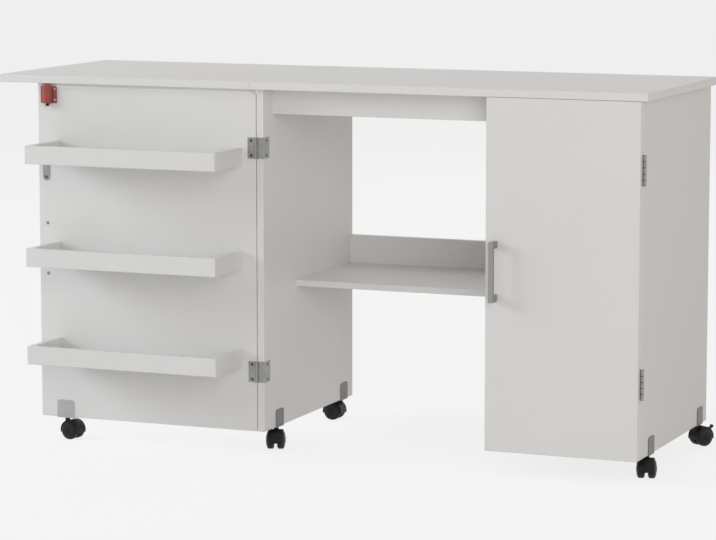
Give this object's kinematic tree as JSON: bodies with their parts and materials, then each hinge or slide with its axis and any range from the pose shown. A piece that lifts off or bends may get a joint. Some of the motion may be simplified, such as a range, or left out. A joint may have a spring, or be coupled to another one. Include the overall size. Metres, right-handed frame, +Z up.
{
  "type": "folding sewing cutting table",
  "caption": "Folding sewing and cutting table on casters: cabinet with door, swing-out gate with trays that carries a drop leaf, knee space with shelf.",
  "frame": {"origin": "on the floor, in the middle of the open table's length, and midway between the trays' fronts and the tops' rear edge", "axes": "+X along the table from the drop leaf to the door, +Y from the sitter's side to the back, +Z up"},
  "size_m": [1.421, 0.607, 0.764],
  "materials": {
    "white_laminate": "matt white melamine on particle board, edges banded to match",
    "grey_steel": "zinc plated, dull grey",
    "handle_steel": "satin brushed",
    "black_plastic": "smooth moulded, slight sheen",
    "latch_red": "moulded, dull brick red",
    "button_red": "moulded, bright red",
    "catch_white": "moulded white"
  },
  "bodies": {
    "cabinet": {"left_side_panel": "white_laminate", "partition_panel": "white_laminate", "right_side_panel": "white_laminate", "main_top": "white_laminate", "apron_rail": "white_laminate", "knee_shelf": "white_laminate", "back_rail": "white_laminate", "compartment_bottom": "white_laminate", "compartment_back": "white_laminate", "compartment_shelf_lower": "white_laminate", "compartment_shelf_upper": "white_laminate", "shelf_pins": "grey_steel", "gate_hinge_panel_leaves": "grey_steel", "leaf_hinge_top_leaves": "grey_steel", "door_hinge_panel_leaves": "grey_steel", "hinge_pins": "grey_steel", "door_catch": "catch_white", "caster_brackets": "grey_steel"},
    "gate": {"gate_panel": "white_laminate", "lower_tray_front": "white_laminate", "lower_tray_base": "white_laminate", "lower_tray_ends": "white_laminate", "middle_tray_front": "white_laminate", "middle_tray_base": "white_laminate", "middle_tray_ends": "white_laminate", "upper_tray_front": "white_laminate", "upper_tray_base": "white_laminate", "upper_tray_ends": "white_laminate", "gate_hinge_gate_leaves": "grey_steel", "gate_handle": "handle_steel", "gate_strike_plate": "grey_steel", "latch_housing": "latch_red", "gate_caster_bracket": "grey_steel"},
    "leaf": {"leaf_top": "white_laminate", "leaf_stop_strip": "white_laminate", "leaf_hinge_leaf_leaves": "grey_steel"},
    "door": {"door_panel": "white_laminate", "door_hinge_door_leaves": "grey_steel", "door_handle": "handle_steel", "door_strike_plate": "grey_steel"},
    "latch_bolt": {"latch_bolt": "black_plastic"},
    "latch_button": {"latch_button": "button_red"},
    "gate_caster": {"gate_caster_hood": "black_plastic", "gate_caster_steel": "grey_steel"},
    "gate_wheels": {"gate_caster_wheels": "black_plastic"},
    "left_front_caster": {"left_front_caster_hood": "black_plastic", "left_front_caster_steel": "grey_steel"},
    "left_front_wheels": {"left_front_caster_wheels": "black_plastic"},
    "left_rear_caster": {"left_rear_caster_hood": "black_plastic", "left_rear_caster_steel": "grey_steel"},
    "left_rear_wheels": {"left_rear_caster_wheels": "black_plastic"},
    "right_front_caster": {"right_front_caster_hood": "black_plastic", "right_front_caster_steel": "grey_steel"},
    "right_front_wheels": {"right_front_caster_wheels": "black_plastic"},
    "right_rear_caster": {"right_rear_caster_hood": "black_plastic", "right_rear_caster_steel": "grey_steel"},
    "right_rear_wheels": {"right_rear_caster_wheels": "black_plastic"},
    "brake": {"right_rear_caster_brake": "black_plastic"}
  },
  "joints": [
    {"name": "gate_swing", "type": "hinge", "parent": "cabinet", "child": "gate", "pos_m": [-0.12345, -0.1745, 0.402], "axis": [0, 0, 1], "range_deg": [0, 180]},
    {"name": "leaf_fold", "type": "hinge", "parent": "cabinet", "child": "leaf", "pos_m": [-0.132, 0.0645, 0.745], "axis": [0, -1, 0], "range_deg": [0, 90]},
    {"name": "door_open", "type": "hinge", "parent": "cabinet", "child": "door", "pos_m": [0.695, -0.1723, 0.406], "axis": [0, 0, 1], "range_deg": [0, 170]},
    {"name": "latch_bolt_slide", "type": "slide", "parent": "gate", "child": "latch_bolt", "axis": [0, 0, 1], "range_m": [-0.006, 0], "stiffness_N_per_m": 300},
    {"name": "latch_button_press", "type": "slide", "parent": "gate", "child": "latch_button", "axis": [0, 1, 0], "range_m": [0, 0.002], "stiffness_N_per_m": 400},
    {"name": "gate_swivel", "type": "hinge", "parent": "gate", "child": "gate_caster", "pos_m": [-0.56445, -0.164, 0.043], "axis": [0, 0, 1], "continuous": true},
    {"name": "gate_roll", "type": "hinge", "parent": "gate_caster", "child": "gate_wheels", "pos_m": [-0.55066, -0.16643, 0.019], "axis": [0.1736, 0.9848, 0], "continuous": true},
    {"name": "left_front_swivel", "type": "hinge", "parent": "cabinet", "child": "left_front_caster", "pos_m": [-0.1152, -0.0955, 0.043], "axis": [0, 0, 1], "continuous": true},
    {"name": "left_front_roll", "type": "hinge", "parent": "left_front_caster", "child": "left_front_wheels", "pos_m": [-0.11041, -0.10866, 0.019], "axis": [0.9397, 0.342, 0], "continuous": true},
    {"name": "left_rear_swivel", "type": "hinge", "parent": "cabinet", "child": "left_rear_caster", "pos_m": [-0.1152, 0.2505, 0.043], "axis": [0, 0, 1], "continuous": true},
    {"name": "left_rear_roll", "type": "hinge", "parent": "left_rear_caster", "child": "left_rear_wheels", "pos_m": [-0.12919, 0.25099, 0.019], "axis": [-0.0349, -0.9994, 0], "continuous": true},
    {"name": "right_front_swivel", "type": "hinge", "parent": "cabinet", "child": "right_front_caster", "pos_m": [0.6838, -0.0955, 0.043], "axis": [0, 0, 1], "continuous": true},
    {"name": "right_front_roll", "type": "hinge", "parent": "right_front_caster", "child": "right_front_wheels", "pos_m": [0.68719, -0.10908, 0.019], "axis": [0.9703, 0.2419, 0], "continuous": true},
    {"name": "right_rear_swivel", "type": "hinge", "parent": "cabinet", "child": "right_rear_caster", "pos_m": [0.6838, 0.2505, 0.043], "axis": [0, 0, 1], "continuous": true},
    {"name": "right_rear_roll", "type": "hinge", "parent": "right_rear_caster", "child": "right_rear_wheels", "pos_m": [0.69183, 0.26197, 0.019], "axis": [-0.8192, 0.5736, 0], "continuous": true},
    {"name": "brake_press", "type": "hinge", "parent": "right_rear_caster", "child": "brake", "pos_m": [0.70229, 0.27691, 0.0313], "axis": [-0.8192, 0.5736, 0], "range_deg": [0, 18]}
  ],
  "couplings": [
    {"joint": "leaf_fold", "follows": "gate_swing", "ratio": 0.5}
  ]
}
